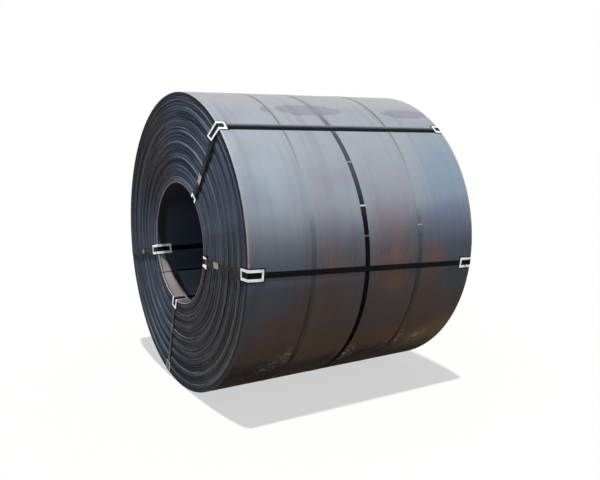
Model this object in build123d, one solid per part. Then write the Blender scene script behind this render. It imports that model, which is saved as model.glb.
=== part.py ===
from build123d import *
import math
import os

# Steel coil, hot-rolled strip wound into one roll, lying on its side. Millimetres, +Z up, the roll's
# axis along X. The near end is at -X. The origin is on the floor under the middle of the roll.
# Angles round the axis are in degrees, 0 toward -Y and 90 straight up.

# Roll: the outside follows from the bore, the gauge and the number of turns
BORE_D = 762.0
STRIP_GAUGE = 6.0
TURNS = 92
COIL_WIDTH = 1580.0
EDGE_ROUND = 3.0
TURNS_PER_STEP = 6
NEAR_SETBACKS = (0.0, 5.0, 2.0, 6.5, 3.0, 7.0, 1.5, 5.5, 2.5, 6.0, 3.5, 7.5, 2.0, 5.0)
FAR_SETBACKS = (0.0, 3.5, 6.5, 2.0, 5.5, 1.5, 7.0, 3.0, 6.0, 2.5, 5.0, 7.5, 3.5, 6.0)

# Belly straps, closed rings drawn tight round the roll
STRAP_W = 32.0
STRAP_T = 0.8
BELLY_X = {"near": -386.0, "middle": -25.0, "far": 367.0}
BELLY_SEAL_ANGLE = {"near": 158.0, "middle": 16.0, "far": 7.7}

# Eye straps, closed loops through the bore, with the angle at each edge that the loop turns over:
# near outer, far outer, near inner, far inner
EYE_ANGLES = {
    "top": (51.0, 49.2, 50.5, 49.5),
    "right": (-2.4, -7.0, -8.0, -7.0),
    "bottom": (-104.0, -103.0, -101.0, -102.0),
    "left": (-167.5, -166.0, -165.5, -164.5),
}

# How far each eye strap's seal stands from the protector at the near end of the bore
EYE_SEAL_GAP = {"top": 101.0, "right": 94.0, "bottom": 129.0, "left": 165.0}

# Pressed protectors under the eye straps where these turn over an edge. The left strap turns over
# the near outer edge bare. Leg lengths: on the wall, on the end at the outside, on the end at the bore,
# in the bore
PROTECTOR_T = 0.5
PROTECTOR_LEGS = {
    "top": (50.0, 115.0, 30.0, 90.0),
    "right": (92.0, 80.0, 50.0, 90.0),
    "bottom": (70.0, 70.0, 62.0, 85.0),
    "left": (90.0, 80.0, 95.0, 98.0),
}
BARE_EDGES = (("left", "near", "outer"),)
RAIL_W = 15.0
END_BAR = 12.0
WINDOW_GAP = 1.0

# Crimped strap seals
SEAL_LEN = 60.0
SEAL_T = 1.0
SEAL_LIP = 2.0
CRIMP_R = 3.5
CRIMP_GAP = 26.0

# Half the depth of the boxes that pick a leg out of a skin round the roll, and that skin's arc
REACH = 9.0
SKIN_ARC = 50.0

bore_r = BORE_D / 2
coil_r = bore_r + TURNS * STRIP_GAUGE
axis_z = coil_r + STRAP_T
half_width = COIL_WIDTH / 2
window_w = STRAP_W + 2 * WINDOW_GAP
protector_w = window_w + 2 * RAIL_W
seal_w = STRAP_W + 2 * SEAL_LIP


def radial(angle):
    """Unit vector that points away from the axis."""
    a = math.radians(angle)
    return Vector(0, -math.cos(a), math.sin(a))


def on_roll(x, radius, angle):
    """Point at a station along the axis, a radius and an angle."""
    return Vector(x, 0, axis_z) + radial(angle) * radius


def turned(section, middle=0.0, arc=360.0):
    """Turn a section, drawn as (along the axis, radius), round the roll's axis, by an arc about an angle."""
    swept = revolve(Plane.XZ * section, Axis.X, arc)
    return Pos(0, 0, axis_z) * Rot(90 - middle - arc / 2, 0, 0) * swept


def end_steps(setbacks, end):
    """Corners of one stepped end, from the bore to the outside."""
    count = max(2, TURNS // TURNS_PER_STEP)
    corners = []
    for i in range(count):
        inner = bore_r + i * TURNS_PER_STEP * STRIP_GAUGE
        outer = bore_r + (i + 1) * TURNS_PER_STEP * STRIP_GAUGE
        setback = setbacks[i % len(setbacks)]
        if i == count - 1:
            outer = coil_r
            setback = 0.0
        x = end * (half_width - setback)
        corners += [(x, inner), (x, outer)]
    return corners


def wound_roll():
    """The roll as one turned solid, its turns stepped in groups on both ends."""
    near = end_steps(NEAR_SETBACKS, -1)
    far = end_steps(FAR_SETBACKS, 1)
    outline = near + far[::-1]
    section = make_face(Polyline(outline, close=True))
    corners = [v for v in section.vertices() if math.isclose(abs(v.X), half_width)
               and (math.isclose(v.Y, bore_r) or math.isclose(v.Y, coil_r))]
    return turned(fillet(corners, EDGE_ROUND))


def envelope(middle, wall, face, bore):
    """An arc of the roll grown by a stand-off on its wall, its ends and its bore, with rounded edges."""
    low = bore_r - bore
    high = coil_r + wall
    block = Rectangle(COIL_WIDTH + 2 * face, high - low)
    block = fillet(block.vertices(), EDGE_ROUND + face)
    return turned(Pos(0, (high + low) / 2) * block, middle, SKIN_ARC)


def leg_box(p, q, normal, width, start, stop):
    """Box along the line from p to q, from start to stop past p, square to the surface there."""
    frame = Plane(origin=p, x_dir=q - p, z_dir=normal)
    box = Box(stop - start, width, 2 * REACH, align=(Align.MIN, Align.CENTER, Align.CENTER))
    return frame * (Pos(start, 0, 0) * box)


def loop_legs(angles):
    """The four straight legs of an eye strap, each as its two ends and the surface's normal."""
    near_outer, far_outer, near_inner, far_inner = angles
    a = on_roll(-half_width, coil_r, near_outer)
    b = on_roll(half_width, coil_r, far_outer)
    c = on_roll(half_width, bore_r, far_inner)
    d = on_roll(-half_width, bore_r, near_inner)
    wall_out = radial((near_outer + far_outer) / 2)
    bore_in = radial((near_inner + far_inner) / 2) * -1
    return {"wall": (a, b, wall_out), "far": (b, c, Vector(1, 0, 0)),
            "bore": (c, d, bore_in), "near": (d, a, Vector(-1, 0, 0))}


def joined(boxes):
    """Several boxes as one solid."""
    return boxes[0].fuse(*boxes[1:])


def strap_loop(angles, skins):
    """A closed strap picked out of the skin that the straps lie in."""
    boxes = [leg_box(p, q, n, STRAP_W, -REACH, (q - p).length + REACH)
             for p, q, n in loop_legs(angles).values()]
    return (skins["strap_top"] - skins["strap_low"]) & joined(boxes)


def edge_point(angles, end, ring):
    """The point where the middle of a loop turns over one edge of the roll."""
    near_outer, far_outer, near_inner, far_inner = angles
    x = -half_width if end == "near" else half_width
    if ring == "outer":
        return on_roll(x, coil_r, near_outer if end == "near" else far_outer)
    return on_roll(x, bore_r, near_inner if end == "near" else far_inner)


def corner_boxes(angles, end, ring, width, spans):
    """Boxes along the two legs that meet at one edge, each over its span from that edge."""
    legs = loop_legs(angles)
    edge = edge_point(angles, end, ring)
    boxes = []
    for side, (start, stop) in zip(("wall" if ring == "outer" else "bore", end), spans):
        p, q, n = legs[side]
        other = q if (p - edge).length < (q - edge).length else p
        boxes.append(leg_box(edge, other, n, width, start, stop))
    return boxes


def protector(angles, end, ring, skins, lengths):
    """A bent plate with a raised frame: the strap lies in its window and passes under both end bars."""
    plate = [(-REACH, leg) for leg in lengths]
    window = [(-REACH, leg - END_BAR) for leg in lengths]
    bars = [(leg - END_BAR, leg + REACH) for leg in lengths]
    body = skins["frame_top"] & joined(corner_boxes(angles, end, ring, protector_w, plate))
    body -= skins["bare"]
    body -= joined(corner_boxes(angles, end, ring, window_w, window)) - skins["plate_top"]
    for box in corner_boxes(angles, end, ring, window_w, bars):
        body -= (skins["strap_top"] & box) - skins["plate_top"]
    return body


def crimped(seal, frame):
    """Bite the four crimps out of a seal's long edges."""
    spots = GridLocations(CRIMP_GAP, seal_w, 2, 2)
    bites = [frame * (spot * Cylinder(CRIMP_R, 4 * REACH)) for spot in spots]
    return seal - bites


def eye_seal(angles, start):
    """Seal folded round an eye strap on the near end, from a distance past the bore's edge."""
    p, q, n = loop_legs(angles)["near"]
    along = start + SEAL_LEN / 2
    frame = Plane(origin=p, x_dir=q - p, z_dir=n) * Pos(along, 0, PROTECTOR_T)
    seat = (Align.CENTER, Align.CENTER, Align.MIN)
    seal = Box(SEAL_LEN, seal_w, STRAP_T + SEAL_T, align=seat) - Box(SEAL_LEN, STRAP_W, STRAP_T, align=seat)
    return crimped(frame * seal, frame)


def belly_seal(x, angle):
    """Seal folded over a belly strap, bent to the roll's wall."""
    low = (Align.CENTER, Align.MIN)
    section = Rectangle(seal_w, STRAP_T + SEAL_T, align=low) - Rectangle(STRAP_W, STRAP_T, align=low)
    skin = turned(Pos(x, coil_r) * section, angle, SKIN_ARC)
    frame = Plane(origin=on_roll(x, coil_r, angle), x_dir=Vector(1, 0, 0), z_dir=radial(angle))
    seal = skin & (frame * Box(2 * seal_w, SEAL_LEN, 2 * REACH))
    return crimped(seal, frame * Rot(0, 0, 90))


def belly_strap(x):
    """A closed strap round the outside."""
    return turned(Pos(x, coil_r) * Rectangle(STRAP_W, STRAP_T, align=(Align.CENTER, Align.MIN)))


def skins_at(middle):
    """The stand-offs (wall, ends, bore) at which the plates and straps lie. On the wall the eye straps
    cross over the belly straps, and everywhere else they lie on the protectors."""
    on_plate = PROTECTOR_T + STRAP_T
    return {
        "bare": envelope(middle, 0, 0, 0),
        "plate_top": envelope(middle, PROTECTOR_T, PROTECTOR_T, PROTECTOR_T),
        "strap_low": envelope(middle, STRAP_T, PROTECTOR_T, PROTECTOR_T),
        "strap_top": envelope(middle, 2 * STRAP_T, on_plate, on_plate),
        "frame_top": envelope(middle, 2 * STRAP_T + PROTECTOR_T, on_plate + PROTECTOR_T, on_plate + PROTECTOR_T),
    }


parts = {"coil": wound_roll()}
for place, x in BELLY_X.items():
    parts["belly_strap_" + place] = belly_strap(x)
    parts["belly_seal_" + place] = belly_seal(x, BELLY_SEAL_ANGLE[place])
for place, angles in EYE_ANGLES.items():
    skins = skins_at(sum(angles) / len(angles))
    parts["eye_strap_" + place] = strap_loop(angles, skins)
    on_wall, on_end_outside, on_end_at_bore, in_bore = PROTECTOR_LEGS[place]
    parts["eye_seal_" + place] = eye_seal(angles, on_end_at_bore + EYE_SEAL_GAP[place])
    for end in ("near", "far"):
        for ring, lengths in (("outer", (on_wall, on_end_outside)), ("inner", (in_bore, on_end_at_bore))):
            if (place, end, ring) not in BARE_EDGES:
                name = "protector_" + place + "_" + end + "_" + ring
                parts[name] = protector(angles, end, ring, skins, lengths)

os.makedirs("parts", exist_ok=True)
for name, solid in parts.items():
    export_step(solid, "parts/" + name + ".step")
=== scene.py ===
import math
import random

import bpy
import numpy as np
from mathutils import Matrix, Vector

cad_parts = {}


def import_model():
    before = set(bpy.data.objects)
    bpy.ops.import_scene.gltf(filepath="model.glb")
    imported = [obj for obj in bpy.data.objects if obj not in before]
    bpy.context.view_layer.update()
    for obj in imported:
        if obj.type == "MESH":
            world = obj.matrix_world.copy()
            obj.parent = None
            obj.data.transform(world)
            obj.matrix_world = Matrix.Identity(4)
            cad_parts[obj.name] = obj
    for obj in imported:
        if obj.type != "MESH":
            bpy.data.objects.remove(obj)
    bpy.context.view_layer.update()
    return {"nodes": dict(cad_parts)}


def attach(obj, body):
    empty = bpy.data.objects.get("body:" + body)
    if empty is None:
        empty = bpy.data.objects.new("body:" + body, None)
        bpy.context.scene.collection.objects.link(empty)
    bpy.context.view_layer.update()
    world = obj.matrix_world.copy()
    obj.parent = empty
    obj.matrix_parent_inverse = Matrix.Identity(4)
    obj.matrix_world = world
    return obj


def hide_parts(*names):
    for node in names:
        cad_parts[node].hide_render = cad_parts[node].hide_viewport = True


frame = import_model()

# Sizes in metres, the same as the solids have, with the setbacks in millimetres. Angles are in degrees
# round the roll's axis, 0 toward -Y and 90 straight up.
BORE_R = 0.381
COIL_R = 0.933
HALF_W = 0.790
AXIS_Z = 0.9338
GAUGE = 0.006
TURNS = 92
TURNS_PER_STEP = 6
NEAR_SETBACKS = (0.0, 5.0, 2.0, 6.5, 3.0, 7.0, 1.5, 5.5, 2.5, 6.0, 3.5, 7.5, 2.0, 5.0)
FAR_SETBACKS = (0.0, 3.5, 6.5, 2.0, 5.5, 1.5, 7.0, 3.0, 6.0, 2.5, 5.0, 7.5, 3.5, 6.0)
INNER_END = -141.0
OUTER_END = -132.0
BELLY_X = {"near": -0.386, "middle": -0.025, "far": 0.367}
EDGE_ROUND = 0.003
STRAP_HALF = 0.016

# Where the noise on the near end starts, which settles where its pale and dark rings lie
RING_START = 84.0

# How the middle belly strap lies in a tilted plane: its middle's shift along the axis, and what the shift
# gains toward -Y and upward. Then its seal's angle.
TILT = (-0.0306, 0.0306, -0.0354)
MIDDLE_SEAL = 16.0

# How two protectors' legs lie askew on the near end: the leg's lean, the end bar's turn, the leg's stretch
TOP_LEG = (math.radians(-17.0), math.radians(13.0), 1.1)
RIGHT_LEG = (math.radians(-11.0), 0.0, 1.0)

# Angles at which each eye strap turns over the near outer, far outer, near inner and far inner edge, and how
# long its protectors' legs are on the wall, on the end at the outside, on the end at the bore and in the bore
EYE_ANGLES = {"top": (51.0, 49.2, 50.5, 49.5), "right": (-2.4, -7.0, -8.0, -7.0),
              "bottom": (-104.0, -103.0, -101.0, -102.0), "left": (-167.5, -166.0, -165.5, -164.5)}
LEGS = {"top": (0.050, 0.115, 0.030, 0.090), "right": (0.092, 0.080, 0.050, 0.090),
        "bottom": (0.070, 0.070, 0.062, 0.085), "left": (0.090, 0.080, 0.095, 0.098)}

# The eye strap that turns over the near outer edge without a protector
BARE = "left"

# Colours that several finishes share
# painted shade: the black of the shadow line below the top eye strap and of that strap's lower half
PAINTED_SHADE_BLACK = (0.006, 0.007, 0.01)
# pale steel of worn edges and of the painted glint along edges
PALE_STEEL_WEAR_AND_GLINT = (0.62, 0.62, 0.64)

# Stains on the wall: the station along the axis, the angle, half the length, half the arc and the strength
PINK_CASTS = ((-0.27, 24.0, 0.34, 30.0, 1.0), (0.2, 22.0, 0.38, 34.0, 1.0))
VEILS = ((-0.27, 4.0, 0.28, 18.0, 1.0), (0.22, 5.0, 0.34, 20.0, 1.0))
BLUE_CASTS = ((-0.72, 16.0, 0.24, 26.0, 0.15), (0.64, 25.0, 0.3, 34.0, 1.0))
PURPLE_STAINS = ((-0.13, 61.5, 0.4, 7.5, 1.0), (0.6, 59.5, 0.32, 6.0, 1.0), (-0.41, 61.5, 0.06, 4.0, 1.0))
OLIVE_STAINS = ((0.12, -37.0, 0.42, 9.0, 1.0), (-0.36, -35.0, 0.3, 8.0, 1.0))
RUST = ((-0.31, 0.0, 0.16, 13.0, 0.6), (0.03, -4.0, 0.09, 10.0, 1.0), (0.21, -3.5, 0.26, 12.0, 1.0),
        (0.22, -10.0, 0.22, 7.0, 1.0), (0.46, -5.0, 0.18, 11.0, 1.0), (-0.16, 1.0, 0.24, 10.0, 0.5),
        (0.14, 7.0, 0.22, 14.0, 0.4))
LOW_RUST = ((-0.58, -26.0, 0.22, 14.0, 1.0), (-0.33, -14.0, 0.2, 14.0, 1.0), (0.5, -20.0, 0.24, 14.0, 1.0))
SCUFFS = ((BELLY_X["near"] - 0.05, -39.0, 0.1, 8.0, 1.0), (BELLY_X["near"] - 0.14, -45.0, 0.1, 8.0, 1.0),
          (BELLY_X["middle"] + 0.06, -45.0, 0.1, 8.0, 1.0), (BELLY_X["far"] + 0.01, -41.0, 0.1, 8.0, 1.0),
          (BELLY_X["far"] + 0.2, -42.0, 0.1, 8.0, 1.0))

# Casts on the ends: the middle angle, half the arc, its soft flank and the tint
END_CASTS = ((50.0, 45.0, 30.0, (1.15, 1.28, 1.55)), (-22.0, 36.0, 12.0, (1.38, 1.33, 1.26)),
             (40.0, 18.0, 12.0, (1.55, 1.7, 1.8)), (84.0, 14.0, 12.0, (1.06, 1.14, 1.2)),
             (-100.0, 14.0, 12.0, (0.82, 0.92, 1.05)))

# The photo's size, and the camera's focal length and picture centre in its pixels
PHOTO_W, PHOTO_H = 600, 480
FOCAL = 668.293
CENTRE = (260.0, 235.0)


# Shader helpers

class Nodes:
    """A short way to write a material's node tree."""

    def __init__(self, name):
        self.mat = bpy.data.materials.new(name)
        self.mat.use_nodes = True
        self.tree = self.mat.node_tree
        self.tree.nodes.clear()
        self.out = self.tree.nodes.new("ShaderNodeOutputMaterial")
        self.place()

    def add(self, kind, **props):
        n = self.tree.nodes.new(kind)
        for k, v in props.items():
            setattr(n, k, v)
        return n

    def put(self, socket, value):
        if isinstance(value, bpy.types.NodeSocket):
            self.tree.links.new(value, socket)
        elif value is not None:
            socket.default_value = value

    def math(self, op, a, b=None, clamp=False):
        n = self.add("ShaderNodeMath", operation=op, use_clamp=clamp)
        self.put(n.inputs[0], a)
        self.put(n.inputs[1], b)
        return n.outputs[0]

    def times(self, *values):
        total = values[0]
        for v in values[1:]:
            total = self.math("MULTIPLY", total, v)
        return total

    def most(self, *values):
        total = values[0]
        for v in values[1:]:
            total = self.math("MAXIMUM", total, v)
        return total

    def ramp(self, value, low, high, to_low=0.0, to_high=1.0):
        """Go smoothly from one level to another while the value goes from low to high."""
        n = self.add("ShaderNodeMapRange", interpolation_type="SMOOTHSTEP")
        if low > high:
            low, high, to_low, to_high = high, low, to_high, to_low
        for i, v in enumerate((value, low, high, to_low, to_high)):
            self.put(n.inputs[i], v)
        return n.outputs[0]

    def band(self, value, middle, half, soft):
        """1 within half of the middle, 0 outside, with soft flanks."""
        away = self.math("ABSOLUTE", self.math("SUBTRACT", value, middle))
        return self.ramp(away, half + soft, half)

    def mix(self, fac, a, b):
        n = self.add("ShaderNodeMix", data_type="RGBA")
        n.clamp_factor = True
        self.put(n.inputs[0], fac)
        self.put(n.inputs[6], a if isinstance(a, bpy.types.NodeSocket) else (*a, 1.0))
        self.put(n.inputs[7], b if isinstance(b, bpy.types.NodeSocket) else (*b, 1.0))
        return n.outputs[2]

    def tint(self, fac, color, by):
        """Multiply a colour by another as far as the factor says."""
        n = self.add("ShaderNodeMix", data_type="RGBA", blend_type="MULTIPLY")
        n.clamp_factor = True
        self.put(n.inputs[0], fac)
        self.put(n.inputs[6], color)
        n.inputs[7].default_value = (*by, 1.0)
        return n.outputs[2]

    def place(self):
        """The point's place in metres, and its parts: along the axis, angle and radius. The rise is the angle
        above the axis, the same on the front and on the back."""
        self.p = self.add("ShaderNodeTexCoord").outputs["Object"]
        s = self.add("ShaderNodeSeparateXYZ")
        self.put(s.inputs[0], self.p)
        self.x, y, z = s.outputs
        up = self.math("SUBTRACT", z, AXIS_Z)
        toward = self.math("MULTIPLY", y, -1.0)
        self.angle = self.math("MULTIPLY", self.math("ARCTAN2", up, toward), 180.0 / math.pi)
        self.radius = self.math("SQRT", self.math("ADD", self.times(y, y), self.times(up, up)))
        self.off = self.math("ABSOLUTE", self.x)
        self.front = self.math("DIVIDE", toward, self.radius)
        self.upward = self.math("DIVIDE", up, self.radius)
        self.rise = self.math("MULTIPLY", self.math("ARCSINE", self.upward), 180.0 / math.pi)

    def vector(self, x, y, z):
        n = self.add("ShaderNodeCombineXYZ")
        for i, v in enumerate((x, y, z)):
            self.put(n.inputs[i], v)
        return n.outputs[0]

    def noise(self, sx, sy, sz, detail=4.0, rough=0.55, distort=0.0, vec=None):
        """Noise over the object's own place, stretched by a number of cells per metre each way."""
        s = self.add("ShaderNodeVectorMath", operation="MULTIPLY")
        self.put(s.inputs[0], self.p if vec is None else vec)
        s.inputs[1].default_value = (sx, sy, sz)
        n = self.add("ShaderNodeTexNoise")
        self.put(n.inputs["Vector"], s.outputs[0])
        n.inputs["Scale"].default_value = 1.0
        n.inputs["Detail"].default_value = detail
        n.inputs["Roughness"].default_value = rough
        n.inputs["Distortion"].default_value = distort
        return n.outputs[0]

    def normal_x(self):
        """How far the surface faces along the axis."""
        s = self.add("ShaderNodeSeparateXYZ")
        self.put(s.inputs[0], self.add("ShaderNodeNewGeometry").outputs["True Normal"])
        return s.outputs[0]

    def blob(self, x0, a0, half_x, half_a):
        """1 at one place on the wall, falling to 0 at the half sizes given."""
        dx = self.math("DIVIDE", self.math("SUBTRACT", self.x, x0), half_x)
        da = self.math("DIVIDE", self.math("SUBTRACT", self.angle, a0), half_a)
        d = self.math("SQRT", self.math("ADD", self.times(dx, dx), self.times(da, da)))
        return self.ramp(d, 1.0, 0.15)

    def stains(self, places):
        """The strongest of several blobs, each with its strength."""
        return self.most(*[self.times(self.blob(*place), strength) for *place, strength in places])

    def halves(self, near, far):
        """One level on the near half of the roll and another on the far half."""
        return self.ramp(self.x, -0.1, 0.1, near, far)

    def bump(self, height, strength, distance):
        n = self.add("ShaderNodeBump")
        n.inputs["Strength"].default_value = strength
        n.inputs["Distance"].default_value = distance
        self.put(n.inputs["Height"], height)
        return n.outputs[0]

    def surface(self, color, rough, metal=0.0, normal=None, specular=0.5):
        b = self.add("ShaderNodeBsdfPrincipled")
        self.put(b.inputs["Base Color"], color)
        self.put(b.inputs["Roughness"], rough)
        self.put(b.inputs["Metallic"], metal)
        b.inputs["Specular IOR Level"].default_value = specular
        self.put(b.inputs["Normal"], normal)
        self.put(self.out.inputs[0], b.outputs[0])
        return self.mat


# Finishes

def scale_tone(g):
    """Colour, roughness and metal of the mill scale on the wall, before stains. Its colour by height holds
    painted light, darker low down and paler higher up.
    """
    streak = g.noise(24.0, 0.7, 0.7, 5.0, 0.6)
    cloud = g.noise(1.8, 2.4, 2.4, 5.0, 0.6, 0.5)
    # painted light: the colour by height follows how the key light falls on the wall
    color = g.mix(g.ramp(g.rise, 0.0, 19.0), (0.235, 0.268, 0.325), (0.4, 0.465, 0.53))
    color = g.mix(g.ramp(g.rise, 24.0, 54.0), color, (0.345, 0.378, 0.42))
    color = g.mix(g.ramp(g.rise, 58.0, 70.0), color, (0.365, 0.385, 0.42))
    color = g.tint(g.times(g.ramp(cloud, 0.42, 0.7), 0.5), color, (0.86, 0.8, 0.84))
    color = g.tint(g.times(g.ramp(streak, 0.45, 0.75), 0.5), color, (0.8, 0.8, 0.82))
    rough = g.ramp(g.math("ADD", streak, cloud), 0.7, 1.3, 0.6, 0.72)
    metal = g.math("MAXIMUM", g.times(g.ramp(g.rise, -8.0, 28.0), 0.42), 0.05)
    return color, rough, metal, streak, cloud


def off_strap(g, place):
    """How far a point of the wall lies from the middle of an eye strap, in degrees."""
    near, far, _, _ = EYE_ANGLES[place]
    lean = g.times(g.x, (far - near) / (2 * HALF_W))
    return g.math("SUBTRACT", g.math("SUBTRACT", g.angle, lean), (near + far) / 2)


def painted_strap_shadow(g):
    """A painted shadow along the lower edge of the top eye strap."""
    return g.times(g.band(off_strap(g, "top"), -1.4, 0.5, 0.25), g.ramp(g.off, 0.775, 0.765))


def wall_dirt_and_shade(g):
    """The dark line round each protector, on the wall: dirt, and painted contact shade."""
    marks = []
    for place in EYE_ANGLES:
        start = HALF_W - LEGS[place][0] - 0.013
        mark = g.times(g.band(off_strap(g, place), 0.0, 2.3, 0.3), g.ramp(g.off, start, start + 0.005))
        marks.append(g.times(mark, g.halves(0.0, 1.0)) if place == BARE else mark)
    return g.most(*marks)


def across_strap(g, place):
    """How far a point of an end lies from the middle of an eye strap, in metres."""
    turns, offsets = [], []
    for outer, inner in (EYE_ANGLES[place][::2], EYE_ANGLES[place][1::2]):
        a, b = math.radians(outer), math.radians(inner)
        rise = COIL_R * math.sin(a) - BORE_R * math.sin(b)
        run = COIL_R * math.cos(a) - BORE_R * math.cos(b)
        turn = math.atan2(rise, run)
        turns.append(turn)
        offsets.append(BORE_R * math.sin(b - turn))
    swing = g.math("SINE", g.math("SUBTRACT", g.times(g.angle, math.pi / 180.0), g.halves(*turns)))
    return g.math("SUBTRACT", g.times(g.radius, swing), g.halves(*offsets))


def end_dirt_and_shade(g):
    """The dark line round each protector, on the ends: dirt, and painted contact shade."""
    marks = []
    for place in EYE_ANGLES:
        _, outer_leg, inner_leg, _ = LEGS[place]
        outside = g.ramp(g.radius, COIL_R - outer_leg - 0.013, COIL_R - outer_leg - 0.008)
        if place == BARE:
            outside = g.times(outside, g.halves(0.0, 1.0))
        inside = g.ramp(g.radius, BORE_R + inner_leg + 0.013, BORE_R + inner_leg + 0.008)
        facing = g.ramp(g.front, 0.0, 0.1) if place in ("top", "right") else g.ramp(g.rise, 0.0, -5.0)
        beside = g.band(across_strap(g, place), 0.0, 0.037, 0.005)
        marks.append(g.times(beside, g.most(outside, inside), facing))
    return g.most(*marks)


def wall_material():
    """Mill scale on the wall: blue-grey and streaked, stained purple on top, rusty and grimy lower down, with
    painted shade toward the floor.
    """
    g = Nodes("mill_scale_wall")
    color, rough, metal, streak, cloud = scale_tone(g)
    spot = g.noise(40.0, 40.0, 40.0, 4.0, 0.65)
    run = g.noise(16.0, 2.6, 2.6, 5.0, 0.6)
    ragged = g.noise(9.0, 5.0, 5.0, 5.0, 0.65)

    # broad pinkish and bluish casts
    pink = g.times(g.stains(PINK_CASTS), g.ramp(cloud, 0.25, 0.6, 0.5, 1.0))
    color = g.tint(pink, color, (0.96, 0.86, 0.88))
    color = g.tint(g.stains(VEILS), color, (0.9, 0.82, 0.86))
    color = g.tint(g.stains(BLUE_CASTS), color, (0.76, 0.84, 0.95))

    # a paler, pinkish crown with purple stains under its edge
    wavy = g.math("ADD", g.rise, g.times(g.math("SUBTRACT", g.noise(4.0, 1.0, 1.0, 3.0), 0.5), 9.0))
    crown = g.ramp(wavy, 66.5, 68.5)
    color = g.mix(g.times(crown, 0.7), color, (0.385, 0.385, 0.405))
    torn = g.times(g.math("SUBTRACT", ragged, 0.5), 1.6)
    humps = g.ramp(g.math("ADD", g.stains(PURPLE_STAINS), torn), 0.42, 0.6)
    color = g.tint(g.times(humps, g.ramp(g.angle, 67.0, 65.0), 0.75), color, (0.78, 0.71, 0.78))

    # grimy and browner toward the floor, with painted shade: darker lower down and near black on the
    # underside
    height = g.math("ADD", g.rise, g.math("ADD", g.times(cloud, 16.0), g.ramp(g.x, -0.5, -0.75, 0.0, 4.0)))
    grime_and_shade = g.ramp(height, 4.0, -28.0)
    brown = g.mix(g.ramp(run, 0.35, 0.65), (0.29, 0.195, 0.15), (0.245, 0.17, 0.135))
    color = g.mix(g.times(grime_and_shade, 0.9), color, brown)
    warm = g.times(g.band(g.angle, -15.0, 5.0, 7.0), g.band(g.x, 0.0, 0.42, 0.2))
    color = g.tint(warm, color, (1.16, 0.97, 0.88))
    near_low = g.times(g.ramp(g.x, -0.33, -0.5), g.ramp(g.angle, -24.0, -38.0))
    color = g.tint(near_low, color, (0.76, 0.82, 0.84))
    olive = g.times(g.stains(OLIVE_STAINS), g.ramp(run, 0.3, 0.6), 0.8)
    color = g.mix(olive, color, (0.3, 0.21, 0.125))
    color = g.mix(g.times(g.blob(0.34, -36.0, 0.24, 7.0), 0.8), color, (0.37, 0.2, 0.13))
    color = g.mix(g.times(g.blob(0.76, -37.0, 0.3, 12.0), 0.9), color, (0.4, 0.3, 0.2))
    # painted shade: near black on the underside
    dark = g.ramp(g.math("ADD", g.rise, g.times(ragged, 14.0)), -32.0, -42.0)
    color = g.mix(g.times(dark, g.ramp(spot, 0.4, 0.6, 0.6, 0.9)), color, (0.06, 0.045, 0.04))
    tan_patch = g.times(g.blob(0.66, -43.0, 0.4, 13.0), g.ramp(ragged, 0.3, 0.6, 0.3, 1.0))
    color = g.mix(tan_patch, color, (0.46, 0.31, 0.21))
    near_foot = g.times(g.ramp(g.x, -0.5, -0.6), g.band(g.angle, -44.0, 3.0, 3.0))
    color = g.tint(near_foot, color, (0.7, 0.74, 0.76))
    color = g.tint(g.ramp(g.rise, -46.0, -51.0), color, (1.25, 1.3, 1.28))
    color = g.tint(g.blob(-0.09, 4.0, 0.1, 13.0), color, (0.76, 0.83, 0.9))

    # rust, drawn out round the roll
    fleck = g.noise(75.0, 17.0, 17.0, 5.0, 0.7)
    behind = g.times(g.ramp(g.front, -0.3, -0.6), g.ramp(cloud, 0.5, 0.62), g.band(g.rise, -2.0, 8.0, 14.0))
    patchy = g.math("ADD", g.times(g.math("ADD", run, ragged), 0.3), g.times(fleck, 0.4))
    rust = g.times(g.most(g.stains(RUST), behind), g.ramp(patchy, 0.39, 0.6))
    tone = g.mix(g.ramp(g.rise, -10.0, -4.0), (0.56, 0.32, 0.19), (0.54, 0.29, 0.21))
    color = g.mix(g.times(rust, g.ramp(g.rise, 6.0, -2.0, 0.65, 0.9)), color, tone)
    far_front = g.times(g.ramp(g.x, 0.3, 0.45), g.band(g.angle, 7.0, 6.0, 8.0))
    color = g.tint(far_front, color, (0.88, 0.89, 0.96))
    low = g.times(g.stains(LOW_RUST), g.ramp(patchy, 0.4, 0.6), 0.5)
    color = g.mix(low, color, (0.34, 0.18, 0.14))

    # pale scuffs where slings have rubbed beside the belly straps
    scrape = g.ramp(g.noise(90.0, 45.0, 45.0, 2.0, 0.6, 1.2), 0.575, 0.62)
    scratch = g.times(g.stains(SCUFFS), scrape, g.ramp(g.x, -0.42, -0.34, 0.7, 1.0))
    color = g.mix(g.times(scratch, 0.95), color, (0.72, 0.66, 0.58))

    # painted shadow below the top eye strap
    line = painted_strap_shadow(g)
    color = g.mix(line, color, PAINTED_SHADE_BLACK)

    # painted highlight along the wall's edges, weaker low down
    edge_glint = g.ramp(g.off, HALF_W - 0.0105, HALF_W - 0.006)
    edge_glint = g.times(edge_glint, g.ramp(spot, 0.35, 0.6, 0.25, 1.0), g.ramp(g.rise, 2.0, -6.0, 1.0, 0.22))
    rosy = g.times(g.band(g.angle, 4.0, 8.0, 6.0), g.ramp(spot, 0.4, 0.6))
    color = g.mix(edge_glint, color, g.mix(rosy, (0.46, 0.46, 0.48), (0.68, 0.46, 0.4)))
    # dirt and painted contact shade round the protectors
    color = g.tint(g.times(wall_dirt_and_shade(g), 0.9), color, (0.12, 0.12, 0.13))
    metal = g.times(metal, g.math("SUBTRACT", 1.0, g.most(rust, line, g.times(grime_and_shade, 0.85)), True))
    metal = g.most(metal, g.times(scratch, 0.5), g.times(edge_glint, 0.2))
    rough = g.math("ADD", rough, g.times(grime_and_shade, 0.15))
    relief = g.bump(g.math("ADD", g.times(streak, 0.7), spot), 0.1, 0.004)
    return g.surface(color, rough, metal, relief, 0.05)


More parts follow.
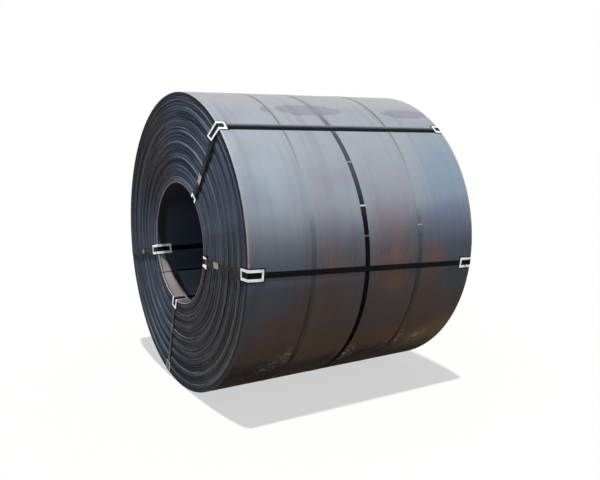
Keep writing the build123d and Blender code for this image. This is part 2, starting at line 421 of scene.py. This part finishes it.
def end_material():
    """The strip's edges on the ends: dark slate scale, with the edges that stand proud pale, partly from wear
    and partly a painted glint.
    """
    g = Nodes("mill_scale_ends")
    turn = g.math("DIVIDE", g.math("SUBTRACT", g.radius, BORE_R), GAUGE)
    whole = g.math("ROUND", turn)
    apart = g.math("ABSOLUTE", g.math("SUBTRACT", turn, whole))
    group = g.math("DIVIDE", whole, float(TURNS_PER_STEP))
    step = g.ramp(g.math("ABSOLUTE", g.math("SUBTRACT", group, g.math("ROUND", group))), 0.1, 0.05)
    shift = g.halves(RING_START, RING_START + 200.0)
    on_turns = g.vector(g.math("ADD", turn, shift), g.front, g.upward)
    per_turn = g.vector(g.times(g.math("ADD", whole, shift), 7.31), g.front, g.upward)
    fade = g.noise(1.0, 1.5, 1.5, 3.0, 0.6, 0.0, per_turn)
    ring = g.noise(0.85, 0.7, 0.7, 2.0, 0.6, 0.0, on_turns)
    mid = g.noise(0.37, 0.9, 0.9, 3.0, 0.6, 0.0, on_turns)
    wide = g.noise(0.13, 0.5, 0.5, 3.0, 0.6, 0.0, on_turns)
    cloud = g.noise(3.0, 3.0, 3.0, 4.0, 0.6)
    spot = g.noise(60.0, 60.0, 60.0, 3.0, 0.6)
    upright = g.math("DIVIDE", g.math("ABSOLUTE", g.rise), 90.0)

    color = g.mix(g.ramp(ring, 0.35, 0.65), (0.105, 0.112, 0.13), (0.27, 0.285, 0.32))
    color = g.mix(g.times(g.ramp(mid, 0.42, 0.6), 0.75), color, (0.095, 0.1, 0.115))
    color = g.mix(g.times(g.ramp(wide, 0.4, 0.65), 0.4), color, (0.125, 0.13, 0.145))
    color = g.mix(g.times(g.ramp(cloud, 0.5, 0.72), 0.4), color, (0.18, 0.165, 0.155))

    # casts that change round the end
    for middle, half, soft, cast in END_CASTS:
        color = g.tint(g.band(g.angle, middle, half, soft), color, cast)
    color = g.tint(g.ramp(g.front, -0.3, -0.8), color, (1.3, 1.32, 1.4))
    behind = g.most(g.band(g.angle, -146.0, 30.0, 14.0), g.ramp(g.angle, 150.0, 172.0))
    color = g.tint(behind, color, (1.22, 1.48, 1.7))
    front_edge = g.times(g.band(g.angle, -34.0, 20.0, 12.0), g.ramp(g.radius, 0.72, 0.8))
    color = g.tint(front_edge, color, (1.32, 1.3, 1.25))
    foot = g.times(g.band(g.angle, -84.0, 14.0, 12.0), g.ramp(g.radius, 0.7, 0.78))
    color = g.tint(foot, color, (0.72, 0.72, 0.7))
    blue = g.times(g.band(g.angle, -148.0, 22.0, 25.0), g.ramp(g.radius, 0.6, 0.8))
    color = g.mix(g.times(blue, g.ramp(cloud, 0.3, 0.6), 0.5), color, (0.22, 0.26, 0.32))

    # edges of turns pale, partly from wear and partly a painted glint where they catch the light, weaker low
    # down
    worn = g.times(g.ramp(apart, 0.3, 0.12), g.ramp(g.math("ADD", fade, g.times(step, 0.1)), 0.5, 0.62))
    worn = g.times(worn, g.ramp(upright, 0.1, 0.6, 0.5, 1.0), g.ramp(g.rise, -60.0, -20.0, 0.65, 1.0))
    above_bore = g.times(g.band(g.angle, 82.0, 22.0, 12.0), g.ramp(g.radius, 0.6, 0.5))
    kept = g.most(above_bore, g.band(g.angle, -100.0, 18.0, 14.0))
    worn = g.times(worn, g.ramp(kept, 0.0, 1.0, 1.0, 0.3))
    color = g.mix(worn, color, PALE_STEEL_WEAR_AND_GLINT)
    outer = g.ramp(g.radius, COIL_R - 0.034, COIL_R - 0.022)
    color = g.mix(g.times(outer, 0.75), color, (0.06, 0.075, 0.12))
    twin = g.times(g.band(g.radius, BORE_R + 0.021, 0.002, 0.0015), g.band(g.angle, 76.0, 16.0, 10.0))
    color = g.mix(g.times(twin, 0.55), color, (0.75, 0.74, 0.72))

    # painted shade on the flanks between the turns, most of all at the sides
    turned_away = g.ramp(g.math("ABSOLUTE", g.normal_x()), 0.9, 0.6)
    flank = g.times(turned_away, g.ramp(upright, 0.85, 0.4, 0.35, 1.0))
    color = g.tint(flank, color, (0.22, 0.22, 0.24))

    # a painted shadow beside the top eye strap, as if the strap stood off the end
    beside = g.times(g.math("SUBTRACT", g.angle, 50.75), g.radius, math.pi / 180.0)
    between_edges = g.times(g.ramp(g.radius, 0.39, 0.42), g.ramp(g.radius, 0.87, 0.75))
    end_strap_shadow = g.times(g.band(beside, -0.03, 0.012, 0.012), between_edges, 0.85)
    color = g.tint(end_strap_shadow, color, (0.12, 0.12, 0.14))

    # painted highlight along the outer edge and the bore's edge, weaker low on the outside
    edge_glint = g.times(g.ramp(g.radius, COIL_R - 0.006, COIL_R - 0.002), g.ramp(g.rise, 2.0, -6.0, 1.0, 0.25))
    edge_glint = g.most(edge_glint, g.ramp(g.radius, BORE_R + 0.007, BORE_R + 0.003))
    edge_glint = g.times(edge_glint, g.ramp(spot, 0.3, 0.6, 0.4, 1.0))
    color = g.mix(edge_glint, color, (0.6, 0.6, 0.62))
    # dirt and painted contact shade round the protectors
    color = g.tint(g.times(end_dirt_and_shade(g), 0.85), color, (0.15, 0.15, 0.17))
    unshaded = g.math("SUBTRACT", 1.0, flank)
    metal = g.most(g.times(worn, unshaded, 0.3), g.times(edge_glint, 0.25), g.times(twin, 0.4))
    rough = g.ramp(ring, 0.3, 0.7, 0.78, 0.58)
    return g.surface(color, rough, metal, g.bump(spot, 0.12, 0.002), 0.06)


def bore_material():
    """The innermost turn: dull grey-tan scale low at the mouth, kept pale only where the key light reaches
    in, which is painted light; blue-black inside and above, and a paler, bluer floor deeper in that is
    painted light too.
    """
    g = Nodes("mill_scale_bore")
    streak = g.noise(18.0, 1.2, 1.2, 4.0, 0.6)
    cloud = g.noise(5.0, 5.0, 5.0, 4.0, 0.6)
    # painted light: the mouth's grey-tan, paler than the bore deeper in
    mouth = g.mix(g.ramp(streak, 0.35, 0.7), (0.36, 0.325, 0.31), (0.32, 0.3, 0.3))
    mouth = g.mix(g.times(g.ramp(cloud, 0.5, 0.75), 0.35), mouth, (0.27, 0.235, 0.215))
    mouth = g.tint(g.ramp(g.angle, -140.0, -116.0), mouth, (0.7, 0.69, 0.69))
    mouth = g.tint(g.ramp(g.angle, -106.0, -97.0), mouth, (0.5, 0.52, 0.53))
    depth = g.math("SUBTRACT", g.off, HALF_W)
    # painted light: the bore's floor deeper in is paler and bluer, as if lit from the far opening
    low = g.times(g.ramp(g.angle, INNER_END - 0.4, INNER_END + 0.4), g.ramp(g.angle, -66.0, -84.0),
                  g.ramp(depth, -0.1, -0.13))
    left = g.most(g.ramp(g.angle, 135.0, 165.0), g.ramp(g.angle, -135.0, -138.0))
    left = g.times(left, g.ramp(depth, -0.05, -0.08))
    inner = g.mix(g.times(left, 0.8), (0.075, 0.076, 0.105), (0.15, 0.2, 0.29))
    inner = g.mix(low, inner, (0.31, 0.375, 0.46))
    seam = g.times(g.band(g.angle, INNER_END, 0.5, 0.4), g.ramp(depth, -0.09, -0.11))
    inner = g.mix(seam, inner, (0.01, 0.01, 0.012))
    # painted light: the pale mouth reaches in only as far as the key light's lit crescent
    upper_reach = g.ramp(g.angle, -163.0, -146.0, 0.0, -0.068)
    lower_reach = g.ramp(g.angle, -146.0, -112.0, 0.0, -0.03)
    past = g.math("SUBTRACT", depth, g.math("ADD", upper_reach, lower_reach))
    color = g.mix(g.ramp(past, -0.004, 0.004), inner, mouth)
    color = g.mix(g.ramp(g.angle, -86.0, -96.0), inner, color)
    gap = g.times(g.band(depth, -0.01, 0.003, 0.003), g.band(g.angle, -134.0, 26.0, 6.0))
    color = g.mix(g.times(gap, 0.65), color, (0.03, 0.03, 0.034))
    lip = g.times(g.band(g.angle, 30.0, 14.0, 10.0), g.ramp(depth, -0.03, -0.022))
    color = g.mix(g.times(lip, 0.8), color, (0.3, 0.31, 0.33))
    # painted highlight along the bore's edge, weaker low down
    edge_glint = g.times(g.ramp(g.off, HALF_W - 0.006, HALF_W - 0.003), g.ramp(g.rise, -5.0, 5.0, 0.55, 1.0))
    color = g.mix(edge_glint, color, PALE_STEEL_WEAR_AND_GLINT)
    relief = g.bump(g.math("ADD", streak, cloud), 0.1, 0.003)
    return g.surface(color, 0.75, g.times(edge_glint, 0.25), relief, 0.05)


def eye_strap_material(name, on_wall, on_end, legs, kept=(0.007, 0.007, 0.009)):
    """A black strap: paler on the wall and the ends, black where it runs under the protectors."""
    g = Nodes(name)
    scuff = g.noise(12.0, 12.0, 12.0, 5.0, 0.65)
    fine = g.noise(150.0, 150.0, 150.0, 3.0, 0.6)
    wall_leg, outer_leg, inner_leg, _ = legs
    at_end = g.ramp(g.off, HALF_W - 0.001, HALF_W)
    at_wall = g.ramp(g.radius, COIL_R - 0.001, COIL_R)
    end_tone = g.mix(g.ramp(scuff, 0.35, 0.7), on_end, tuple(0.5 * v for v in on_end))
    wall_tone = g.mix(g.ramp(scuff, 0.4, 0.75), on_wall, tuple(0.7 * v for v in on_wall))
    if name.endswith("bottom"):
        # painted light: paler toward the floor, where the strap stands off the end and catches the light
        end_tone = g.tint(g.ramp(g.radius, 0.68, 0.76), end_tone, (1.5, 1.55, 1.62))
    if name.endswith("top"):
        # a painted highlight along its upper edge, and painted shade that makes its lower half black
        across = off_strap(g, "top")
        wall_tone = g.mix(g.ramp(across, 0.35, 0.6), wall_tone, (0.26, 0.275, 0.3))
        wall_tone = g.mix(g.ramp(across, -0.15, -0.35), wall_tone, PAINTED_SHADE_BLACK)
    clear = g.ramp(g.off, HALF_W - wall_leg, HALF_W - wall_leg - 0.006)
    color = g.mix(g.times(at_wall, clear), kept, wall_tone)
    clear = g.times(g.ramp(g.radius, COIL_R - outer_leg, COIL_R - outer_leg - 0.006),
                    g.ramp(g.radius, BORE_R + inner_leg, BORE_R + inner_leg + 0.006))
    color = g.mix(g.times(at_end, clear), color, end_tone)
    color = g.mix(g.times(g.ramp(fine, 0.6, 0.75), 0.25), color, g.mix(0.5, color, (0.12, 0.115, 0.11)))
    return g.surface(color, g.ramp(scuff, 0.3, 0.8, 0.5, 0.7), 0.0, g.bump(fine, 0.08, 0.001), 0.05)


def middle_strap_material():
    """The black belly strap: grey on top, which is a painted sheen, black lower down, with two pale marks
    across it.
    """
    g = Nodes("belly_strap_black")
    scuff = g.noise(12.0, 12.0, 12.0, 5.0, 0.65)
    fine = g.noise(150.0, 150.0, 150.0, 3.0, 0.6)
    # painted sheen: grey on top, black lower down
    color = g.mix(g.ramp(g.rise, 8.0, 34.0), (0.009, 0.007, 0.009), (0.1, 0.108, 0.128))
    color = g.mix(g.ramp(g.rise, 42.0, 64.0), color, (0.3, 0.305, 0.34))
    color = g.tint(g.times(g.ramp(scuff, 0.45, 0.75), 0.5), color, (0.6, 0.6, 0.6))
    # two pale marks across the strap
    for angle, strength in ((34.0, 0.7), (7.0, 0.5)):
        pale_mark = g.times(g.band(g.angle, angle, 0.22, 0.15), strength)
        color = g.mix(pale_mark, color, (0.45, 0.46, 0.48))
    # painted shadow below the top eye strap, across this strap
    color = g.mix(painted_strap_shadow(g), color, PAINTED_SHADE_BLACK)
    color = g.tint(g.times(g.ramp(fine, 0.5, 0.75), 0.4), color, (0.7, 0.7, 0.7))
    rough = g.math("ADD", g.ramp(scuff, 0.3, 0.8, 0.5, 0.68), g.ramp(g.rise, -5.0, -25.0, 0.0, 0.3))
    return g.surface(color, rough, 0.0, g.bump(fine, 0.08, 0.001), 0.03)


def bare_strap_material(name, x0):
    """An unpainted belly strap: the wall's tone, dark along one edge on top, greener and darker low down,
    partly painted shade.
    """
    g = Nodes(name)
    color, rough, metal, _, _ = scale_tone(g)
    fine = g.noise(150.0, 150.0, 150.0, 3.0, 0.6)
    side = g.math("DIVIDE", g.math("SUBTRACT", g.x, x0), STRAP_HALF)
    color = g.tint(0.8, color, (0.92, 0.94, 0.9))
    near_edge = g.ramp(side, -0.2, -0.5)
    far_edge = g.ramp(side, 0.55, 0.8)
    color = g.tint(g.times(near_edge, g.ramp(g.rise, 22.0, 60.0)), color, (0.55, 0.54, 0.5))
    color = g.mix(g.times(far_edge, g.band(g.rise, 44.0, 18.0, 10.0), 0.5), color, (0.46, 0.46, 0.38))
    color = g.tint(g.times(g.band(g.rise, 3.0, 7.0, 9.0), 0.9), color, (0.6, 0.7, 0.68))
    # browner lower down and near black on the underside: partly painted shade, as on the wall
    color = g.mix(g.ramp(g.rise, -4.0, -18.0), color, (0.215, 0.165, 0.14))
    color = g.tint(g.times(near_edge, g.ramp(g.rise, -8.0, -16.0)), color, (0.6, 0.6, 0.6))
    color = g.mix(g.ramp(g.rise, -30.0, -42.0), color, (0.05, 0.04, 0.036))
    color = g.tint(g.times(g.ramp(fine, 0.5, 0.75), 0.4), color, (0.8, 0.8, 0.75))
    # painted shadow below the top eye strap, across this strap
    line = painted_strap_shadow(g)
    color = g.mix(line, color, PAINTED_SHADE_BLACK)
    metal = g.times(metal, g.ramp(g.rise, -10.0, 20.0, 0.3, 1.0), g.math("SUBTRACT", 1.0, line))
    return g.surface(color, rough, metal, g.bump(fine, 0.08, 0.001), 0.05)


def zinc_material(name, dark, pale, metal, rough=0.3, rubbed=None):
    """Zinc-coated sheet with a faint spangle and dirt. A rubbed one has a strap's tone on its end leg."""
    g = Nodes(name)
    spangle = g.add("ShaderNodeTexVoronoi")
    g.put(spangle.inputs["Vector"], g.p)
    spangle.inputs["Scale"].default_value = 130.0
    dirt = g.noise(30.0, 30.0, 30.0, 5.0, 0.65)
    tone = g.math("ADD", g.times(spangle.outputs["Distance"], 0.5), g.times(dirt, 0.7))
    color = g.mix(g.ramp(tone, 0.45, 0.95), pale, dark)
    color = g.tint(g.times(g.ramp(dirt, 0.52, 0.66), 0.8), color, (0.5, 0.51, 0.52))
    if rubbed:
        place, strap_tone = rubbed
        under = g.band(across_strap(g, place), 0.0, STRAP_HALF - 0.0015, 0.003)
        mark = g.times(under, g.ramp(g.off, HALF_W - 0.001, HALF_W))
        color = g.mix(mark, color, strap_tone)
        metal = g.times(g.math("SUBTRACT", 1.0, mark), metal)
    return g.surface(color, g.ramp(dirt, 0.3, 0.7, rough, rough + 0.18), metal,
                     g.bump(dirt, 0.06, 0.001), 0.5)


def marked_seal_material(name, body, marks, worn=0.55):
    """A plain seal with bright marks: the angle, half the arc, the radius, half the depth and the
    brightness of each. A mark without a radius goes right across the seal."""
    g = Nodes(name)
    dirt = g.noise(40.0, 40.0, 40.0, 4.0, 0.65)
    color = g.mix(g.ramp(dirt, 0.35, 0.7), body, tuple(worn * v for v in body))
    for angle, half_angle, radius, half_radius, pale in marks:
        spot = g.band(g.angle, angle, half_angle, half_angle * 0.3)
        if radius:
            spot = g.times(spot, g.band(g.radius, radius, half_radius, half_radius * 0.3))
        color = g.mix(spot, color, (pale, pale, pale * 1.02))
    return g.surface(color, g.ramp(dirt, 0.3, 0.7, 0.45, 0.6), 0.05, g.bump(dirt, 0.08, 0.001), 0.1)


# The wound roll: its skins, the columns round it, and the groove between two turns on the ends

WALL, END, BORE = 0, 1, 2
COLUMNS = 148
GROOVE_DEPTH = 0.0017
GROOVE_HALF = 0.0013


def build_mesh(name, verts, faces, mats, skins):
    """A smooth mesh with sharp edges where it bends, each face in the finish that its skin names."""
    me = bpy.data.meshes.new(name)
    me.from_pydata([tuple(v) for v in verts], [], faces)
    for m in mats:
        me.materials.append(m)
    me.polygons.foreach_set("material_index", skins)
    me.polygons.foreach_set("use_smooth", [True] * len(me.polygons))
    me.set_sharp_from_angle(angle=math.radians(30.0))
    me.update()
    return me


def add_piece(name, me, node):
    """Put a mesh into the scene in the place of one of the frame's nodes."""
    ob = bpy.data.objects.new(name, me)
    bpy.context.scene.collection.objects.link(ob)
    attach(ob, "root")
    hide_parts(node)


def setback(turn, table):
    """How far a turn's group stands back from the end, in metres."""
    count = TURNS // TURNS_PER_STEP
    group = min(turn // TURNS_PER_STEP, count - 1)
    return 0.0 if group == count - 1 else table[group % len(table)] / 1000.0


def wound_roll():
    """One closed skin: every turn's edge on both ends, the wall and the bore with the strip's two ends."""
    rng = random.Random(41)
    angles = list(np.linspace(-180.0, 180.0, COLUMNS, endpoint=False))
    angles += [edge + side * 0.03 for edge in (INNER_END, OUTER_END) for side in (-1, 1)]
    deg = np.array(sorted(angles))
    ang = np.radians(deg)
    n = len(ang)

    def lip(edge, toward, depth, run):
        """Step left by an end of the strip, run out smoothly to one side."""
        past = (deg - edge) * toward
        return np.where((past > 0) & (past < run), depth * (1 - past / run) ** 2, 0.0)

    inner = BORE_R + lip(INNER_END, 1, GAUGE * 0.8, 30.0)
    outer = COIL_R - lip(OUTER_END, -1, GAUGE * 0.9, 26.0)
    flat = np.ones(n)

    def rounded(end, corner, inward, skin, steps):
        """Rings round an edge of the roll, half of them in the end's skin and half in the other skin."""
        out = []
        for t in steps:
            a = math.radians(t)
            x = end * (HALF_W - EDGE_ROUND + EDGE_ROUND * math.sin(a))
            r = corner + inward * EDGE_ROUND * (1.0 - math.cos(a))
            out.append((x * flat, r, skin if t < 45 else END))
        return out

    def turn_backs(table):
        """How far each turn stands back from an end, a little wavy, with the first and last turn flush."""
        backs = []
        for i in range(TURNS):
            own = setback(i, table) + rng.uniform(0.0, 0.0012)
            if i % TURNS_PER_STEP in (2, 4) and rng.random() < 0.5:
                own -= 0.0015
            wave = rng.uniform(0.0002, 0.0009) * np.sin(rng.choice((1, 1, 2, 3)) * ang
                                                        + rng.uniform(0, 6.283))
            backs.append(np.maximum(own + wave, 0.0) if 0 < i < TURNS - 1 else 0.0 * flat)
        return backs

    def end_rings(end, table):
        """The turns of one end from the bore to the outside, with a groove between two turns."""
        backs = turn_backs(table)
        out = rounded(end, inner, 1, BORE, (0.0, 30.0, 60.0, 90.0))
        for i in range(1, TURNS):
            r = BORE_R + i * GAUGE
            groove = np.maximum(backs[i], backs[i - 1]) + GROOVE_DEPTH
            out.append((end * (HALF_W - backs[i - 1]), (r - GROOVE_HALF) * flat, END))
            out.append((end * (HALF_W - groove), r * flat, END))
            out.append((end * (HALF_W - backs[i]), (r + GROOVE_HALF) * flat, END))
        return out + rounded(end, outer, -1, WALL, (90.0, 60.0, 30.0, 0.0))

    near = end_rings(-1, NEAR_SETBACKS)
    far = end_rings(1, FAR_SETBACKS)
    walls = [(x * flat, outer, WALL) for x in np.linspace(-HALF_W + 0.06, HALF_W - 0.06, 12)]
    bores = [(x * flat, inner, BORE) for x in np.linspace(HALF_W - 0.06, -HALF_W + 0.06, 6)]
    # a ring names the skin of the faces after it, so the skins shift by one where the order is turned round
    back = [(x, r, far[max(k - 1, 0)][2]) for k, (x, r, _) in enumerate(far)][::-1]
    rings = near + walls + back + bores

    verts = np.concatenate([np.stack([x, -r * np.cos(ang), AXIS_Z + r * np.sin(ang)], 1)
                            for x, r, _ in rings])
    faces = []
    skins = []
    for k, (_, _, skin) in enumerate(rings):
        following = (k + 1) % len(rings)
        for j in range(n):
            m = (j + 1) % n
            faces.append((k * n + j, k * n + m, following * n + m, following * n + j))
            skins.append(skin)
    me = build_mesh("wound_roll", verts, faces, [wall_material(), end_material(), bore_material()], skins)
    add_piece("wound_roll", me, "coil")


wound_roll()


# Pieces that lie a little askew in the photo

def reshaped(name, node, mats, move, dark=None):
    """A piece in a node's place: its mesh copied with the points moved, and some faces in a second finish."""
    me = frame["nodes"][node].data.copy()
    me.name = name
    points = np.empty(3 * len(me.vertices))
    me.vertices.foreach_get("co", points)
    points = points.reshape(-1, 3)
    second = [int(dark(face)) if dark else 0 for face in me.polygons]
    move(points)
    me.vertices.foreach_set("co", points.ravel())
    me.materials.clear()
    for m in mats:
        me.materials.append(m)
    me.polygons.foreach_set("material_index", second)
    me.update()
    add_piece(name, me, node)


def askew(angle):
    """How far the middle belly strap, drawn on in a tilted plane, lies from its station, in metres."""
    middle, front, upward = TILT
    return middle + front * np.cos(angle) + upward * np.sin(angle)


def lay_strap(points):
    points[:, 0] += askew(np.arctan2(points[:, 2] - AXIS_Z, -points[:, 1]))


def lay_seal(points):
    points[:, 0] += askew(math.radians(MIDDLE_SEAL))


def lean_leg(points, edge, radius, way, lean, turn, stretch):
    """Draw the end of a leg on the near end aside. The leg goes outward (1) or inward (-1) from its fold. It
    leans by an angle about the fold and is stretched, and its end bar turns by an angle of its own."""
    across = -points[:, 1] - radius * math.cos(edge)
    up = points[:, 2] - AXIS_Z - radius * math.sin(edge)
    along = across * math.cos(edge) + up * math.sin(edge)
    aside = up * math.cos(edge) - across * math.sin(edge)
    leg = (points[:, 0] < 0.001 - HALF_W) & (way * along > 0.02)
    across = stretch * along * math.cos(edge + lean) - aside * math.sin(edge + turn)
    up = stretch * along * math.sin(edge + lean) + aside * math.cos(edge + turn)
    points[leg, 1] = -(across + radius * math.cos(edge))[leg]
    points[leg, 2] = (up + AXIS_Z + radius * math.sin(edge))[leg]


def lean_top(points):
    lean_leg(points, math.radians(EYE_ANGLES["top"][0]), COIL_R, -1, *TOP_LEG)


def lean_right(points):
    lean_leg(points, math.radians(EYE_ANGLES["right"][2]), BORE_R, 1, *RIGHT_LEG)


def in_window(face):
    """The plate's own face in the window on the end, which the strap has kept dark."""
    return face.normal.x < -0.9 and face.center.x > -HALF_W - 0.0008


# Finishes by node

def sheet_finishes():
    """The finishes of the protectors that differ, and the one of all the others."""
    bright, pale = (0.8, 0.81, 0.82), (0.96, 0.965, 0.97)
    grey = zinc_material("galvanised_grey", (0.52, 0.53, 0.545), (0.86, 0.87, 0.88), 0.85, 0.4)
    rubbed = ("right", (0.1, 0.082, 0.058))
    return {
        "protector_bottom_near_outer": zinc_material("galvanised_dull", (0.26, 0.27, 0.285),
                                                     (0.46, 0.48, 0.5), 0.4, 0.5),
        "protector_left_near_inner": zinc_material("galvanised_rough", (0.8, 0.83, 0.86),
                                                   (0.95, 0.965, 0.98), 0.85, 0.6),
        "protector_right_near_inner": zinc_material("galvanised_rubbed", bright, pale, 0.9, 0.3, rubbed),
        "protector_right_near_outer": grey,
        "protector_right_far_outer": grey,
    }, zinc_material("galvanised", bright, pale, 0.9)


def strap_finishes():
    """The straps. A leg of no length means that the strap is as worn beside that edge as elsewhere."""
    soot = (0.014, 0.014, 0.017)
    bottom_legs = (LEGS["bottom"][0], 0.0, *LEGS["bottom"][2:])
    left_legs = (0.0, 0.0, *LEGS["left"][2:])
    return {
        "eye_strap_top": eye_strap_material("eye_strap_top", (0.08, 0.09, 0.105), (0.1, 0.092, 0.085),
                                            LEGS["top"], (0.025, 0.036, 0.042)),
        "eye_strap_right": eye_strap_material("eye_strap_right", (0.014, 0.015, 0.017), (0.13, 0.105, 0.07),
                                              LEGS["right"]),
        "eye_strap_bottom": eye_strap_material("eye_strap_bottom", soot, (0.2, 0.205, 0.215), bottom_legs),
        "eye_strap_left": eye_strap_material("eye_strap_left", soot, (0.07, 0.065, 0.055), left_legs),
        "belly_strap_middle": middle_strap_material(),
        "belly_strap_near": bare_strap_material("belly_strap_near", BELLY_X["near"]),
        "belly_strap_far": bare_strap_material("belly_strap_far", BELLY_X["far"]),
    }


def seal_finishes():
    """The seals, two of them in zinc and the rest plain, three with bright marks."""
    left_marks = ((-167.2, 0.5, 0.675, 0.009, 0.9), (-166.1, 0.5, 0.678, 0.009, 0.9))
    middle_marks = ((17.6, 0.35, 0, 0, 0.85),)
    far_marks = ((9.35, 0.25, 0, 0, 0.6),)
    return {
        "eye_seal_top": zinc_material("seal_pale", (0.3, 0.3, 0.29), (0.6, 0.6, 0.6), 0.3),
        "eye_seal_right": zinc_material("seal_cream", (0.34, 0.3, 0.22), (0.7, 0.63, 0.5), 0.2),
        "eye_seal_bottom": marked_seal_material("seal_grey", (0.26, 0.27, 0.28), ()),
        "eye_seal_left": marked_seal_material("seal_left", (0.06, 0.055, 0.048), left_marks),
        "belly_seal_middle": marked_seal_material("seal_middle", (0.03, 0.03, 0.036), middle_marks),
        "belly_seal_near": marked_seal_material("seal_near", (0.33, 0.36, 0.4), (), 0.8),
        "belly_seal_far": marked_seal_material("seal_far", (0.21, 0.245, 0.26), far_marks, 0.8),
    }


sheets, galvanised = sheet_finishes()
finish = {**strap_finishes(), **seal_finishes(), **sheets}
for name, ob in frame["nodes"].items():
    if name != "coil":
        ob.data.materials.clear()
        ob.data.materials.append(finish.get(name, galvanised))

reshaped("belly_strap_askew", "belly_strap_middle",
         [finish["belly_strap_middle"]], lay_strap)
reshaped("belly_seal_askew", "belly_seal_middle", [finish["belly_seal_middle"]], lay_seal)
reshaped("protector_leaning", "protector_top_near_outer",
         [galvanised, finish["eye_strap_top"]], lean_top, in_window)
reshaped("protector_twisted", "protector_right_near_inner",
         [finish["protector_right_near_inner"]], lean_right)


# Stage: floor, light, camera

def seen_directly(tree):
    """1 on rays that show the background: camera, glossy and transmission rays."""
    path = tree.nodes.new("ShaderNodeLightPath")
    total = path.outputs["Is Camera Ray"]
    for kind in ("Is Glossy Ray", "Is Transmission Ray"):
        add = tree.nodes.new("ShaderNodeMath")
        add.operation = "MAXIMUM"
        tree.links.new(total, add.inputs[0])
        tree.links.new(path.outputs[kind], add.inputs[1])
        total = add.outputs[0]
    return total


def floor():
    me = bpy.data.meshes.new("floor")
    half = 60.0
    corners = [(-half, -half, 0), (half, -half, 0), (half, half, 0), (-half, half, 0)]
    me.from_pydata(corners, [], [(0, 1, 2, 3)])
    ob = bpy.data.objects.new("floor", me)
    bpy.context.scene.collection.objects.link(ob)
    mat = bpy.data.materials.new("pale_floor")
    mat.use_nodes = True
    t = mat.node_tree
    t.nodes.clear()
    out = t.nodes.new("ShaderNodeOutputMaterial")
    pale = t.nodes.new("ShaderNodeBsdfDiffuse")
    pale.inputs[0].default_value = (0.9, 0.9, 0.9, 1)
    glow = t.nodes.new("ShaderNodeEmission")
    glow.inputs[0].default_value = (1, 1, 1, 1)
    lit = t.nodes.new("ShaderNodeMixShader")
    lit.inputs[0].default_value = 0.6
    t.links.new(pale.outputs[0], lit.inputs[1])
    t.links.new(glow.outputs[0], lit.inputs[2])
    dim = t.nodes.new("ShaderNodeBsdfDiffuse")
    dim.inputs[0].default_value = (0.14, 0.13, 0.12, 1)
    both = t.nodes.new("ShaderNodeMixShader")
    t.links.new(seen_directly(t), both.inputs[0])
    t.links.new(dim.outputs[0], both.inputs[1])
    t.links.new(lit.outputs[0], both.inputs[2])
    t.links.new(both.outputs[0], out.inputs[0])
    me.materials.append(mat)


def world():
    w = bpy.data.worlds.new("studio")
    bpy.context.scene.world = w
    w.use_nodes = True
    t = w.node_tree
    t.nodes.clear()
    out = t.nodes.new("ShaderNodeOutputWorld")
    soft = t.nodes.new("ShaderNodeBackground")
    soft.inputs[0].default_value = (0.84, 0.92, 1.0, 1)
    soft.inputs[1].default_value = 0.15
    white = t.nodes.new("ShaderNodeBackground")
    white.inputs[0].default_value = (1, 1, 1, 1)
    white.inputs[1].default_value = 1.0
    both = t.nodes.new("ShaderNodeMixShader")
    t.links.new(seen_directly(t), both.inputs[0])
    t.links.new(soft.outputs[0], both.inputs[1])
    t.links.new(white.outputs[0], both.inputs[2])
    t.links.new(both.outputs[0], out.inputs[0])


def key_light():
    """One high key, almost square to the roll's axis, that just grazes the near end."""
    height, graze = math.radians(81.0), math.radians(6.4)
    level = math.cos(graze)
    to_light = Vector((-math.sin(graze), -math.cos(height) * level, math.sin(height) * level))
    lamp = bpy.data.lights.new("key", "SUN")
    lamp.energy = 3.2
    lamp.angle = math.radians(2.0)
    lamp.color = (1.0, 0.985, 0.96)
    ob = bpy.data.objects.new("key", lamp)
    ob.rotation_euler = to_light.to_track_quat("Z", "Y").to_euler()
    bpy.context.scene.collection.objects.link(ob)


def camera():
    azimuth, elevation, distance = math.radians(-29.142), math.radians(8.652), 4.4877
    target = Vector((-0.2007, 0.0, 0.9411))
    back = Vector((math.sin(azimuth) * math.cos(elevation), -math.cos(azimuth) * math.cos(elevation),
                   math.sin(elevation)))
    cam = bpy.data.cameras.new("camera")
    cam.sensor_fit = "HORIZONTAL"
    cam.sensor_width = 36.0
    cam.lens = FOCAL / PHOTO_W * cam.sensor_width
    cam.shift_x = (PHOTO_W / 2 - CENTRE[0]) / PHOTO_W
    cam.shift_y = (CENTRE[1] - PHOTO_H / 2) / PHOTO_W
    cam.clip_end = 200.0
    ob = bpy.data.objects.new("camera", cam)
    ob.location = target + back * distance
    ob.rotation_euler = (-back).to_track_quat("-Z", "Y").to_euler()
    bpy.context.scene.collection.objects.link(ob)
    bpy.context.scene.camera = ob


floor()
world()
key_light()
camera()
bpy.context.scene.view_settings.view_transform = "Standard"
